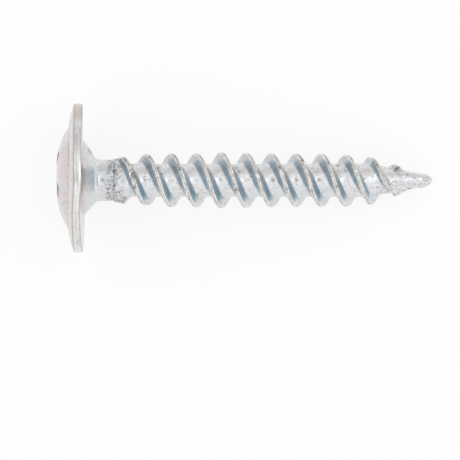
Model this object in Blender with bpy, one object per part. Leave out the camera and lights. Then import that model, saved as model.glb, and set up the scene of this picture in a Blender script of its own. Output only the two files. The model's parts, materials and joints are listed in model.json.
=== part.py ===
"""Wafer head screw with a self-tapping point, formed from one piece of steel wire.

The head is a low dome on a thin, wide flange, with a cross recess. Below it a conical neck leads into
a short plain shank, and a coarse right-hand thread with two starts runs from there to the point.
The screw is modelled along its own axis and then laid down as it comes to rest, on the edge of the
flange and on one crest of the thread near the point.

In the screw's own frame, +X runs from the head to the point and distances along it are measured from
the underside of the flange. Angles round the axis start at +Y and turn towards +Z.
"""

import math

import bmesh
import bpy
from mathutils import Matrix, Vector

MM = 0.001

HEAD_OFFSET = 0.17 * MM  # the head is forged this far off the axis of the shank, towards +Y

# The flange, from its rim inwards
FLANGE_DIAMETER = 11.0 * MM
RIM_THICKNESS = 0.63 * MM
RIM_ROUNDING = 0.09 * MM
FLANGE_FALL = 0.35 * MM  # the top of the flange drops by this much from its crown to the rim
FLANGE_ARC_RADIUS = 7 * MM

# The groove between the flange's crown and the dome
GROOVE_WIDTH = 0.42 * MM
GROOVE_DEPTH = 0.13 * MM
GROOVE_LEAN = 0.04 * MM  # the groove's wall, under the dome's edge, leans out by this much

# The dome
DOME_DIAMETER = 7.46 * MM
DOME_EDGE_RISE = 0.08 * MM  # height of the dome's edge above the flange's crown
DOME_FLAT_DIAMETER = 1.76 * MM
DOME_ARC_RADIUS = 5.15 * MM

# The neck and the plain shank
NECK_DIAMETER = 5.75 * MM
NECK_LENGTH = 1.03 * MM
SEAT_FILLET = 0.15 * MM
SHANK_FILLET = 0.6 * MM
SHANK_DIAMETER = 3.02 * MM
SHANK_SWELL = 0.09 * MM  # metal that the rolling of the thread pushes up, all round the shank's end
SWELL_PLACE = 2.2 * MM
THREAD_START = 2.45 * MM  # where the ridges begin to rise out of the shank

# The thread
LENGTH = 25.7 * MM
THREAD_DIAMETER = 4.0 * MM
ROOT_DIAMETER = 2.5 * MM
THREAD_PITCH = 1.84 * MM
THREAD_STARTS = 2
CREST_WIDTH = 0.3 * MM
CREST_ROUNDING = 0.07 * MM
HEAD_FLANK = 0.32 * MM  # length along the screw of the flank that faces the head
TIP_FLANK = 0.28 * MM
RISE_LENGTH = 4.0 * MM  # the ridges rise out of the shank to their full height over this length
ROOT_START = 3.05 * MM  # where the roots between them begin to sink below the shank
ROOT_RUN_IN = 0.6 * MM
CREST_PLACE = 4.67 * MM  # a crest crosses the +Y side here

# The point
POINT_LENGTH = 4.6 * MM
NOSE_RADIUS = 0.36 * MM
FADE_LENGTH = 6.2 * MM  # the thread loses its height over this length
BARE_POINT = 1.7 * MM

# The cross recess, which narrows towards its floor
RECESS_WIDTH = 4.4 * MM
RECESS_DEPTH = 2.1 * MM
RECESS_TAPER = math.radians(26.5)
RECESS_CONE = 0.35 * MM
RECESS_TURN = math.radians(29)
WING_WIDTH = 0.96 * MM
WING_FLOOR_WIDTH = 0.58 * MM
CORNER_RADIUS = 1.03 * MM
FLOOR_CORNER_RADIUS = 0.75 * MM
CUTTER_RISE = 0.3 * MM  # how far the cutting tool stands out of the dome

# Facets
SEGMENTS = 56
ARC_STEPS = 3
DOME_STEPS = 7
GROOVE_STEPS = 4
CORNER_STEPS = 5
SMOOTH_ANGLE = math.radians(28)

STEEL_COLOUR = (0.66, 0.69, 0.71, 1.0)
STEEL_ROUGHNESS = 0.34


def arc(centre, radius, start, end, steps):
    """Points (distance along the screw, radius from its axis) on an arc. Angle 0 points at the tip."""
    points = []
    for step in range(steps + 1):
        angle = start + (end - start) * step / steps
        points.append((centre[0] + radius * math.cos(angle), centre[1] + radius * math.sin(angle)))
    return points


def arc_between(centre, start, end):
    """Points on the arc round that centre from start to end."""
    first, last = (start - centre).normalized(), (end - centre).normalized()
    radius = (start - centre).length
    points = []
    for step in range(ARC_STEPS + 1):
        points.append(tuple(centre + radius * first.slerp(last, step / ARC_STEPS)))
    return points


def rounded_corner(before, corner, after, radius):
    """The arc of that radius which touches both lines that meet at the corner."""
    corner = Vector(corner)
    to_before = (Vector(before) - corner).normalized()
    to_after = (Vector(after) - corner).normalized()
    half_angle = to_before.angle(to_after) / 2
    centre = corner + (to_before + to_after).normalized() * radius / math.sin(half_angle)
    touch = radius / math.tan(half_angle)
    return arc_between(centre, corner + to_before * touch, corner + to_after * touch)


def bowed_line(start, end, radius):
    """The arc of that radius from start to end, which bulges away from the point of the screw."""
    start, end = Vector(start), Vector(end)
    chord = end - start
    across = Vector((chord.y, -chord.x)).normalized()
    centre = (start + end) / 2 + across * math.sqrt(radius**2 - (chord.length / 2) ** 2)
    return arc_between(centre, start, end)


def dome_profile():
    """The dome, from its middle to its edge."""
    edge_place = -RIM_THICKNESS - FLANGE_FALL - DOME_EDGE_RISE
    flat_radius = DOME_FLAT_DIAMETER / 2
    edge_angle = math.asin((DOME_DIAMETER / 2 - flat_radius) / DOME_ARC_RADIUS)
    centre = (edge_place + DOME_ARC_RADIUS * math.cos(edge_angle), flat_radius)
    return arc(centre, DOME_ARC_RADIUS, math.pi, math.pi - edge_angle, DOME_STEPS)


def groove_profile():
    """The groove round the dome. It is deepest at the dome's foot and rises smoothly to the crown."""
    crown = -RIM_THICKNESS - FLANGE_FALL
    foot = DOME_DIAMETER / 2 + GROOVE_LEAN
    points = []
    for step in range(GROOVE_STEPS + 1):
        share = step / GROOVE_STEPS
        rise = (1 - math.cos(math.pi * share)) / 2
        radius = foot + (GROOVE_WIDTH - GROOVE_LEAN) * share
        points.append((crown + GROOVE_DEPTH * (1 - rise), radius))
    return points


def flange_profile(crown):
    """The flange's top, which slopes down from its crown, its rounded rim and its flat seat."""
    rim = FLANGE_DIAMETER / 2
    upper, lower = (-RIM_THICKNESS, rim), (0, rim)
    neck = (0, NECK_DIAMETER / 2)
    top = bowed_line(crown, upper, FLANGE_ARC_RADIUS)
    rim_top = rounded_corner(top[-2], upper, lower, RIM_ROUNDING)
    rim_base = rounded_corner(upper, lower, neck, RIM_ROUNDING)
    return top[1:-1] + rim_top + rim_base


def neck_profile():
    """The conical neck, with a fillet to the seat and one to the shank."""
    shank = SHANK_DIAMETER / 2
    seat = (0, FLANGE_DIAMETER / 2)
    wide, narrow = (0, NECK_DIAMETER / 2), (NECK_LENGTH, shank)
    swell_start = (SWELL_PLACE, shank)
    to_seat = rounded_corner(seat, wide, narrow, SEAT_FILLET)
    to_shank = rounded_corner(wide, narrow, swell_start, SHANK_FILLET)
    return to_seat + to_shank + [swell_start, (THREAD_START, shank + SHANK_SWELL)]


def head_profile():
    """The turned outline from the middle of the dome to the start of the thread."""
    groove = groove_profile()
    return dome_profile() + groove + flange_profile(groove[-1]) + neck_profile()


def cone_slope():
    """Fall of the point's cone for each unit of length, from the root of the thread to the round nose."""
    root = ROOT_DIAMETER / 2
    to_nose = POINT_LENGTH - NOSE_RADIUS
    lean = math.atan2(root, to_nose) - math.asin(NOSE_RADIUS / math.hypot(to_nose, root))
    return math.tan(lean)


def nose_profile():
    """The round nose, from where it touches the cone to the tip."""
    lean = math.atan(cone_slope())
    centre = (LENGTH - NOSE_RADIUS, 0)
    return arc(centre, NOSE_RADIUS, math.pi / 2 - lean, 0, ARC_STEPS)


def smooth_step(share):
    share = min(max(share, 0), 1)
    return share * share * (3 - 2 * share)


def surface_radius(place, ridge):
    """Radius of the threaded part. Ridge is 0 at the root of the thread and 1 at its crest."""
    shank = SHANK_DIAMETER / 2 + SHANK_SWELL
    cone = ROOT_DIAMETER / 2 - max(place - (LENGTH - POINT_LENGTH), 0) * cone_slope()
    root = shank + (cone - shank) * smooth_step((place - ROOT_START) / ROOT_RUN_IN)
    to_rise = min(max(1 - (place - THREAD_START) / RISE_LENGTH, 0), 1)
    crest = THREAD_DIAMETER / 2 - (THREAD_DIAMETER / 2 - shank) * to_rise**3
    faded = (place - (LENGTH - BARE_POINT - FADE_LENGTH)) / FADE_LENGTH
    height = (crest - max(root, ROOT_DIAMETER / 2)) * (1 - min(max(faded, 0), 1) ** 4)
    return root + ridge * height


def ridge_profile():
    """One ridge of the thread, as (distance from the middle of its crest, share of its height)."""
    half_crest = CREST_WIDTH / 2
    shoulder = 1 - CREST_ROUNDING / ((THREAD_DIAMETER - ROOT_DIAMETER) / 2)
    return [
        (-half_crest - HEAD_FLANK, 0),
        (-half_crest, shoulder),
        (0, 1),
        (half_crest, shoulder),
        (half_crest + TIP_FLANK, 0),
    ]


def angle_of(column):
    """Angle of a column of vertices. A flat of the flange, and not a corner, faces straight down."""
    return 2 * math.pi * (column + 0.5) / SEGMENTS


def middle_at(place):
    """How far the middle of the screw lies off its axis. The neck leads back from the head's offset."""
    return HEAD_OFFSET * min(max(1 - place / NECK_LENGTH, 0), 1)


def add_vertex(mesh, place, radius, column):
    angle = angle_of(column)
    across = middle_at(place) + radius * math.cos(angle)
    return mesh.verts.new((place, across, radius * math.sin(angle)))


def add_rings(mesh, profile):
    """One ring of vertices for each point of a turned profile, and one vertex where it meets the axis."""
    rings = []
    for place, radius in profile:
        if radius < 0.001 * MM:
            rings.append([mesh.verts.new((place, middle_at(place), 0))] * SEGMENTS)
        else:
            rings.append([add_vertex(mesh, place, radius, column) for column in range(SEGMENTS)])
    for near, far in zip(rings, rings[1:]):
        for column in range(SEGMENTS):
            beside = (column + 1) % SEGMENTS
            add_face(mesh, near[column], near[beside], far[beside], far[column])
    return rings


def add_face(mesh, *corners):
    """A face on these corners. Corners that are the same vertex count once."""
    distinct = list(dict.fromkeys(corners))
    if len(distinct) > 2:
        mesh.faces.new(distinct)


def add_thread(mesh, first_ring, last_ring):
    """The threaded part between two rings. Each row of vertices follows the helix, and the rows that
    would run past a ring end on it."""
    ridge = ridge_profile()
    lead = THREAD_PITCH * THREAD_STARTS
    rows_per_turn = THREAD_STARTS * len(ridge)
    start, end = first_ring[0].co.x, last_ring[0].co.x
    margin = lead / SEGMENTS / 3
    made = {}

    def vertex(column, row):
        turns, column = divmod(column, SEGMENTS)
        row += turns * rows_per_turn
        pitches, step = divmod(row, len(ridge))
        offset, share = ridge[step]
        along = lead * (column + 0.5) / SEGMENTS
        place = CREST_PLACE + THREAD_PITCH * pitches + offset + along
        if place < start + margin:
            return first_ring[column]
        if place > end - margin:
            return last_ring[column]
        if (column, row) not in made:
            made[column, row] = add_vertex(mesh, place, surface_radius(place, share), column)
        return made[column, row]

    first_row = math.floor((start - CREST_PLACE - lead) / THREAD_PITCH - 1) * len(ridge)
    last_row = math.ceil((end - CREST_PLACE) / THREAD_PITCH + 1) * len(ridge)
    for column in range(SEGMENTS):
        for row in range(first_row, last_row):
            add_face(
                mesh,
                vertex(column, row),
                vertex(column + 1, row),
                vertex(column + 1, row + 1),
                vertex(column, row + 1),
            )


def screw_mesh():
    """The whole screw but for its recess, as one closed surface."""
    mesh = bmesh.new()
    dome_top = head_profile()[0][0]
    head = add_rings(mesh, [(dome_top, 0)] + head_profile())
    nose = add_rings(mesh, nose_profile())
    add_thread(mesh, head[-1], nose[0])
    return finished(mesh, "wafer_head_screw")


def recess_section(place, dip, width, wing_width, corner_radius):
    """The recess across the axis: four wings with square ends, and rounded metal between them. A floor
    dips evenly from the end of each wing to the middle."""
    reach, half_wing = width / 2, wing_width / 2
    centre = Vector((half_wing + corner_radius, half_wing + corner_radius))
    wing = [Vector((reach, -half_wing)), Vector((reach, half_wing))]
    for step in range(CORNER_STEPS + 1):
        angle = -math.pi / 2 * (1 + step / CORNER_STEPS)
        wing.append(centre + corner_radius * Vector((math.cos(angle), math.sin(angle))))
    points = []
    for index in range(4):
        turn = Matrix.Rotation(RECESS_TURN + index * math.pi / 2, 2)
        for point in wing:
            across = turn @ point
            depth = dip * (1 - max(point) / reach)
            points.append((place + depth, HEAD_OFFSET + across.x, across.y))
    return points


def recess_cutter():
    """The tool that forms the recess, a cross that narrows to a floor with a shallow pyramid in it."""
    top = head_profile()[0][0]
    floor = top + RECESS_DEPTH
    spread = math.tan(RECESS_TAPER)
    floor_width = RECESS_WIDTH - 2 * RECESS_DEPTH * spread
    mouth_width = RECESS_WIDTH + 2 * CUTTER_RISE * spread
    mesh = bmesh.new()
    sections = [
        recess_section(top - CUTTER_RISE, 0, mouth_width, WING_WIDTH, CORNER_RADIUS),
        recess_section(floor, RECESS_CONE, floor_width, WING_FLOOR_WIDTH, FLOOR_CORNER_RADIUS),
    ]
    above, below = [[mesh.verts.new(point) for point in section] for section in sections]
    point = mesh.verts.new((floor + RECESS_CONE, HEAD_OFFSET, 0))
    mesh.faces.new(above)
    for index in range(len(above)):
        beside = (index + 1) % len(above)
        add_face(mesh, above[index], above[beside], below[beside], below[index])
        add_face(mesh, below[index], below[beside], point)
    return finished(mesh, "recess_cutter")


def finished(mesh, name):
    """The working mesh as a mesh in the file, with its faces pointing out."""
    bmesh.ops.recalc_face_normals(mesh, faces=mesh.faces)
    data = bpy.data.meshes.new(name)
    mesh.to_mesh(data)
    mesh.free()
    return data


def resting_dip(points):
    """Angle by which the axis dips towards the point when the screw lies on a flat surface.

    Seen from the side, the screw lies on the longest edge of its lower hull."""
    hull = []
    for point in sorted((point.x, point.z) for point in points):
        while len(hull) > 1:
            (x0, z0), (x1, z1) = hull[-2:]
            if (x1 - x0) * (point[1] - z0) > (z1 - z0) * (point[0] - x0):
                break
            hull.pop()
        hull.append(point)
    left, right = max(zip(hull, hull[1:]), key=lambda edge: edge[1][0] - edge[0][0])
    return math.atan2(right[1] - left[1], right[0] - left[0])


def lay_down(screw):
    """Turns the screw to how it rests, with the middle of its footprint at the origin."""
    points = [vertex.co for vertex in screw.data.vertices]
    turn = Matrix.Rotation(resting_dip(points), 3, "Y")
    turned = [turn @ point for point in points]
    low = Vector([min(point[axis] for point in turned) for axis in range(3)])
    high = Vector([max(point[axis] for point in turned) for axis in range(3)])
    screw.rotation_euler = turn.to_euler()
    screw.location = (-(low.x + high.x) / 2, -(low.y + high.y) / 2, -low.z)


def zinc_plated_steel():
    material = bpy.data.materials.new("zinc_plated_steel")
    material.use_nodes = True
    shader = material.node_tree.nodes["Principled BSDF"]
    shader.inputs["Base Color"].default_value = STEEL_COLOUR
    shader.inputs["Metallic"].default_value = 1.0
    shader.inputs["Roughness"].default_value = STEEL_ROUGHNESS
    return material


def build():
    for old in list(bpy.data.objects):
        bpy.data.objects.remove(old)

    screw = bpy.data.objects.new("wafer_head_screw", screw_mesh())
    screw.data.materials.append(zinc_plated_steel())
    screw.data.shade_smooth()
    screw.data.set_sharp_from_angle(angle=SMOOTH_ANGLE)
    bpy.context.scene.collection.objects.link(screw)

    cutter = bpy.data.objects.new("recess_cutter", recess_cutter())
    cutter.hide_render = True
    cutter.display_type = "WIRE"
    cutter.parent = screw
    bpy.context.scene.collection.objects.link(cutter)

    recess = screw.modifiers.new("recess", "BOOLEAN")
    recess.operation = "DIFFERENCE"
    recess.object = cutter
    lay_down(screw)


build()
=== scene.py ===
"""The looks of a zinc-plated wafer head screw, lying on a white table and seen from above.

The screw is rebuilt as one fine mesh over its CAD solid. It is laid out in the screw's own frame, in
millimetres: +X runs from the head to the point, distances along it are measured from the underside of
the flange, and angles round the axis start at +Y and turn towards +Z. The mount called seat in the
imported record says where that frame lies.
"""

import json
import math

import bpy
import numpy as np
from mathutils import Matrix, Vector

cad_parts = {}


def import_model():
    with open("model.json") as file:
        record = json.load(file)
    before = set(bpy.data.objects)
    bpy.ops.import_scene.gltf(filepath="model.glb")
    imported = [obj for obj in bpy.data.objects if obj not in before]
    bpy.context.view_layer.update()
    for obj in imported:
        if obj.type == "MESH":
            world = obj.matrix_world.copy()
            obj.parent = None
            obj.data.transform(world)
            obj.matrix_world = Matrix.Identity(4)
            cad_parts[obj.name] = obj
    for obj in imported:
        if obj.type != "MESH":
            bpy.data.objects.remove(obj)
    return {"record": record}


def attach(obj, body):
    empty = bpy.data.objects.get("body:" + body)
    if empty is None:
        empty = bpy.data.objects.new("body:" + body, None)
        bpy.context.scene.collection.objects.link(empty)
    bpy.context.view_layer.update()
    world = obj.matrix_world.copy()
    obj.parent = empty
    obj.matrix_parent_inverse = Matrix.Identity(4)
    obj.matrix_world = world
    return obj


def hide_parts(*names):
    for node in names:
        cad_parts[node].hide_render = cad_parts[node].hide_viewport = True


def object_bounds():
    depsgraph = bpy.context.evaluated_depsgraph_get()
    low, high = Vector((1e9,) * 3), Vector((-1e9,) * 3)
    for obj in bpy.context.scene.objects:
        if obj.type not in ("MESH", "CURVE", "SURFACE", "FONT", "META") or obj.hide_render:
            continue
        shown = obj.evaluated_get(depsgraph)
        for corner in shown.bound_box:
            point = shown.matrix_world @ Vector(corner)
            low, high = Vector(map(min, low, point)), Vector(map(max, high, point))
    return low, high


MM = 0.001

# The head, from its rim inwards
SEAT_MOUNT_OFFSET = 4.2  # the seat mount lies this far from the screw's own axis
HEAD_OFFSET = 0.17
RIM_THICKNESS = 0.63
RIM_ROUNDING = 0.09
RIM_BULGE = 0.03  # the rim is fuller along its middle than at its corners
FLANGE_TWIST = 0.13  # the lower half of the flange is twisted by this much at its rim
FLANGE_WEAR = 0.07  # the side of the flange that lies on top is this much thinner
FLANGE_FALL = 0.35
FLANGE_ARC_RADIUS = 7.0
GROOVE_WIDTH = 0.42
GROOVE_DEPTH = 0.13
GROOVE_LEAN = 0.04
DOME_DIAMETER = 7.46
DOME_EDGE_RISE = 0.08
DOME_EDGE_ROUNDING = 0.05
DOME_FLAT_DIAMETER = 1.76
DOME_ARC_RADIUS = 5.15

# The neck and the plain shank
NECK_DIAMETER = 5.75
NECK_LENGTH = 1.03
SEAT_FILLET = 0.15
SHANK_FILLET = 0.6
SHANK_DIAMETER = 3.02
SHANK_SWELL = 0.09
SWELL_PLACE = 2.2
THREAD_START = 2.45

# The thread and the point
LENGTH = 25.7
THREAD_DIAMETER = 4.0
ROOT_DIAMETER = 2.5
THREAD_PITCH = 1.84
THREAD_STARTS = 2
CREST_WIDTH = 0.3
CREST_ROUNDING = 0.07
HEAD_FLANK = 0.3
TIP_FLANK = 0.27
ROOT_HOLLOW = 0.05  # the root sinks by this much between two ridges
CREST_PLACE = 4.67
RISE_LENGTH = 4.0  # the ridges rise from the shank over this length
ROOT_START = 2.98  # the roots sink from the shank's surface here
ROOT_RUN_IN = 0.52
ROOT_DELAY = 0.5  # on the side that lies on top, the roots sink this much later
CREST_SWELL = 0.09  # the crests stand out this much further round one place
CREST_SWELL_PLACE = 10.7
CREST_SWELL_REACH = 1.9
EDGE_SOFTNESS = 0.04  # edges of the ridge are rounded over this length to each side
CREST_HOLLOW = 0.028  # the crest is hollow between its two lips
CREST_HOLLOW_WIDTH = 0.11
SEAM_WIDTH = 0.05  # the rolled crest closes in a thin seam
SEAM_DEPTH = 0.02
SEAM_WANDER = 0.06
LIP_PLACE = 0.09  # the dirt on the crest's lip lies this far from the crest's middle
LIP_WIDTH = 0.07
FURROW_DEPTH = 0.09
FURROW_WIDTH = 0.18  # the furrow before the first flank reaches this far from the flank's foot
FURROW_MIDDLE = 0.06
ROLL_MARKS = (1.8, 2.27)  # places of the rings that the thread rollers press into the shank
ROLL_MARK_DEPTH = 0.05
ROLL_MARK_WIDTH = 0.05
LOW_SPOTS = (  # middle, depth and reach of the low stretches of the crests
    ((4.65, -2, 0), 0.09, 0.75),
    ((19.4, 1.9, 0), 0.07, 0.75),
    ((20.75, 1.35, -1.1), 0.15, 0.45),
    ((21.2, 1.8, 0), 0.12, 0.5),
    ((22.6, -1.0, 0.75), 0.32, 0.45),
)
BURRS = (  # middle, height and reach of the places that stand out
    ((0.46, 2.2, 0), 0.11, 0.2),
    ((0.22, 2.5, 0), 0.06, 0.2),
    ((21.8, 0.95, 1.2), 0.12, 0.35),
    ((23.35, 0.95, 0.45), 0.1, 0.3),
    ((23.5, -0.85, 0), 0.15, 0.4),
)
STAINS = (  # place, side and reach of the dark spots on the screw's upper side as it lies
    (0.5, 2.2, 0.12),
    (0.66, 2.0, 0.1),
    (1.45, 0.03, 0.12),
    (1.97, -0.34, 0.1),
    (2.34, -0.38, 0.07),
    (2.61, 0.43, 0.07),
    (2.78, 1.05, 0.07),
    (3.15, 1.5, 0.1),
    (3.5, 1.25, 0.13),
    (3.72, 1.27, 0.12),
    (3.94, 1.28, 0.12),
    (3.6, 0.83, 0.08),
    (3.7, 0.54, 0.13),
    (3.77, 0.25, 0.16),
    (3.82, -0.53, 0.1),
    (4.21, -1.65, 0.08),
    (4.54, 0.03, 0.1),
    (4.91, 1.75, 0.1),
    (5.57, 0.94, 0.1),
    (6.79, -1.85, 0.07),
    (7.15, 0.8, 0.1),
    (7.8, -1.4, 0.07),
    (8.48, -1.0, 0.08),
    (10.1, 0.03, 0.09),
    (11.27, 0.91, 0.1),
    (11.49, 0.65, 0.1),
    (11.27, -0.71, 0.12),
    (13.04, 0.03, 0.08),
    (13.99, 0.03, 0.13),
    (14.47, 0.98, 0.12),
    (14.99, -0.64, 0.1),
    (15.68, 0.03, 0.13),
    (15.98, 1.79, 0.1),
    (16.16, 1.5, 0.11),
    (16.86, -0.78, 0.1),
    (17.34, 0.03, 0.12),
    (18.11, 1.35, 0.12),
    (18.74, 1.09, 0.1),
    (21.4, 1.35, 0.13),
    (21.6, 1.15, 0.1),
    (22.66, 1.0, 0.14),
    (23.0, 0.78, 0.12),
    (23.26, 0.9, 0.08),
    (23.6, -0.85, 0.1),
    (23.85, 0.43, 0.07),
    (24.07, -0.62, 0.1),
    (24.43, 0.17, 0.08),
)
POINT_LENGTH = 4.6
NOSE_RADIUS = 0.36
NOSE_SWELL = 0.07  # the point is fuller than a cone just behind its nose
NOSE_SWELL_START = LENGTH - 0.85
NOSE_SWELL_END = LENGTH - 0.7
NOSE_SWELL_EDGE = 0.5
NOSE_WEAR = 0.02
FADE_LENGTH = 6.9
BARE_POINT = 1.0
THREAD_END = 24.0
THREAD_END_LENGTH = 0.9

# The cross recess
RECESS_WIDTH = 4.4
RECESS_DEPTH = 2.1
RECESS_TAPER = math.radians(26.5)
RECESS_CONE = 0.35
RECESS_TURN = math.radians(29)
WING_WIDTH = 0.96
WING_FLOOR_WIDTH = 0.58
CORNER_RADIUS = 1.03
FLOOR_CORNER_RADIUS = 0.75
FLOOR_KEEL = 0.12  # the floor of each wing is this much deeper along its middle
CUTTER_RISE = 0.3  # the walls are drawn up to this far above the dome, and end where they meet it

# How uneven the metal is
COARSE_LUMP = 0.45
NICK_SIZE = 0.22
FINE_LUMP = 0.16
TINY_LUMP = 0.11
LUMP_CELLS = 16  # the random pattern repeats after this many lumps
CREST_UNEVENNESS = 0.03
NICK_DEPTH = 0.07
RIM_UNEVENNESS = 0.01
GRIT_UNEVENNESS = 0.03
POINT_UNEVENNESS = 0.05
POINT_FINE_UNEVENNESS = 0.02
THREAD_UNEVENNESS = 0.012
STAIN_DEPTH = 0.02

# The camera stands above the screw, square to its axis. The image is this many pixels across
IMAGE_SIZE = 460
PIXELS_PER_MM = 13.6
SEAT_COLUMN = 82.7  # image column of the underside of the flange
AXIS_ROW = 180.35  # image row of the screw's axis
CAMERA_DISTANCE = 1500.0
SENSOR_WIDTH = 36.0
FLOOR_WIDTH = 600.0

# What lies where on the screw, each a mask on the mesh from 0 to 1
SURFACES = (
    "crest",
    "seam",
    "flank",
    "grit",
    "point",
    "face",
    "rim",
    "edge",
    "turned",
    "groove",
    "recess",
    "floor",
    "stain_and_shade",
    "left_side_shade",
)

# Colours of the plating, and of the reflections, highlights and shade painted on it
ZINC_BLUE = (0.72, 0.74, 0.755, 1)
ZINC_GREY = (0.765, 0.765, 0.77, 1)
FACE_PINK = (0.715, 0.64, 0.635, 1)
FACE_LILAC = (0.69, 0.67, 0.685, 1)
RIM_WARM = (0.80, 0.78, 0.75, 1)
# painted reflection: the blue of the dark room that the flanks show
FLANK_REFLECTION_TEAL = (0.195, 0.43, 0.57, 1)
# painted shade on the walls of the recess
RECESS_SHADE_TEAL = (0.47, 0.60, 0.65, 1)
# painted highlight on the floor of the recess
RECESS_FLOOR_HIGHLIGHT = (0.92, 0.92, 0.90, 1)
# painted highlight on the point
NOSE_HIGHLIGHT = (0.86, 0.86, 0.86, 1)
# painted dark reflection in the groove round the dome
GROOVE_DARK_REFLECTION = (0.05, 0.05, 0.055, 1)
# painted highlight on the crests
CREST_HIGHLIGHT = (0.95, 0.92, 0.87, 1)
# painted shade on the rim's left end and on the ridges along the left outline
LEFT_SIDE_SHADE = (0.45, 0.36, 0.30, 1)
PATINA = (0.50, 0.51, 0.52, 1)
# pits, stains, wear and painted shade are drawn in these two colours
PIT_AND_SHADE_GREY = (0.16, 0.15, 0.15, 1)
WEAR_AND_SHADE_BROWN = (0.24, 0.18, 0.13, 1)

# The room, as reflections find it
LENS_ANGLE = math.radians(12)  # half the angle that the camera fills, seen from the screw
LENS_GREY = (0.2, 0.2, 0.22, 1)
LENS_RING = (1.22, 1.22, 1.22, 1)  # the light close round the camera
ROOM_TOP = (1.1, 1.1, 1.1, 1)
ROOM_NEAR_SIDE = (1.02, 1.0, 1.02, 1)  # below the screw in the image
ROOM_FAR_SIDE = (0.80, 0.785, 0.79, 1)
ROOM_END = (0.13, 0.25, 0.34, 1)  # high up over both ends of the screw
ROOM_WINDOW = (1.5, 1.5, 1.5, 1)  # low down beyond the point
ROOM_DOOR = (0.25, 0.26, 0.28, 1)  # beyond the head, to both sides of it
ROOM_WHITE = (1, 1, 1, 1)  # what lights the screw and the table
KEY_TILT = math.radians(26)
KEY_TURN = math.radians(20)
KEY_DISTANCE = 400
KEY_SIZE = 160
KEY_POWER = 0.06
PAPER_DARK = (0.95, 0.95, 0.95, 1)
PAPER_LIGHT = (0.97, 0.97, 0.97, 1)

# Fineness of the mesh
COLUMNS = 208
WING_END_STEPS = 5
WING_SIDE_STEPS = 7
BETWEEN_WINGS_STEPS = COLUMNS // 4 - 2 * (WING_END_STEPS + WING_SIDE_STEPS)
FLOOR_ROWS = 8
WALL_ROWS = 12
MOUTH_ROW = FLOOR_ROWS + WALL_ROWS
DOME_ROWS = 13
CORNER_STEPS = 4
GROOVE_STEPS = 10
FLANGE_STEPS = 12
RIM_STEPS = 6
SEAT_STEPS = 7
NECK_STEPS = 6
FILLET_STEPS = 8
SHANK_STEPS = 5
SWELL_STEPS = 6
HEAD_FLANK_STEPS = 7
CREST_STEPS = 8
TIP_FLANK_STEPS = 6
ROOT_STEPS = 7
NOSE_STEPS = 8
BISECTIONS = 40
SHORT = 1e-9  # lengths below this count as none


def arc(centre, radius, start, end, steps):
    """Points (distance along the screw, radius from its axis) on an arc. Angle 0 points at the tip."""
    angles = np.linspace(start, end, steps + 1)
    return np.stack([centre[0] + radius * np.cos(angles), centre[1] + radius * np.sin(angles)], 1)


def arc_between(centre, start, end, steps):
    """Points on the arc round that centre from start to end."""
    first, last = start - centre, end - centre
    start_angle = math.atan2(first.y, first.x)
    turn = last.normalized().angle_signed(first.normalized())
    return arc(centre, first.length, start_angle, start_angle + turn, steps)


def rounded_corner(before, corner, after, radius, steps):
    """The arc of that radius which touches both lines that meet at the corner."""
    corner = Vector(corner)
    to_before = (Vector(before) - corner).normalized()
    to_after = (Vector(after) - corner).normalized()
    half_angle = to_before.angle(to_after) / 2
    centre = corner + (to_before + to_after).normalized() * radius / math.sin(half_angle)
    touch = radius / math.tan(half_angle)
    return arc_between(centre, corner + to_before * touch, corner + to_after * touch, steps)


def bowed_line(start, end, radius, steps):
    """The arc of that radius from start to end, which bulges away from the point of the screw."""
    start, end = Vector(start), Vector(end)
    chord = end - start
    across = Vector((chord.y, -chord.x)).normalized()
    centre = (start + end) / 2 + across * math.sqrt(radius**2 - (chord.length / 2) ** 2)
    return arc_between(centre, start, end, steps)


def line(start, end, steps):
    return np.linspace(start, end, steps + 1)


def joined(*stretches):
    """The stretches as one line, in which a point that two of them share comes once."""
    points = np.concatenate([np.asarray(stretch, float) for stretch in stretches])
    apart = np.linalg.norm(np.diff(points, axis=0), axis=1) > 1e-6
    return points[np.concatenate([[True], apart])]


def smooth_step(share):
    """0 below 0, 1 above 1, and smooth between."""
    share = np.clip(share, 0, 1)
    return share * share * (3 - 2 * share)


def band(value, low, high, edge):
    """1 between low and high, and falling smoothly to 0 over the edge's width outside them."""
    return smooth_step((value - low) / edge + 1) * smooth_step((high - value) / edge + 1)


def bell(distance, width):
    """1 at no distance, falling to 0 on both sides."""
    return np.exp(-((distance / width) ** 2))


def dome_place(radius):
    """Place of the dome's surface at that distance from the middle of the head."""
    flat = DOME_FLAT_DIAMETER / 2
    edge_angle = math.asin((DOME_DIAMETER / 2 - flat) / DOME_ARC_RADIUS)
    middle = DOME_EDGE_PLACE + DOME_ARC_RADIUS * math.cos(edge_angle)
    return middle - np.sqrt(DOME_ARC_RADIUS**2 - np.maximum(radius - flat, 0) ** 2)


CROWN_PLACE = -RIM_THICKNESS - FLANGE_FALL
DOME_EDGE_PLACE = CROWN_PLACE - DOME_EDGE_RISE
DOME_TOP_PLACE = float(dome_place(0.0))


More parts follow.
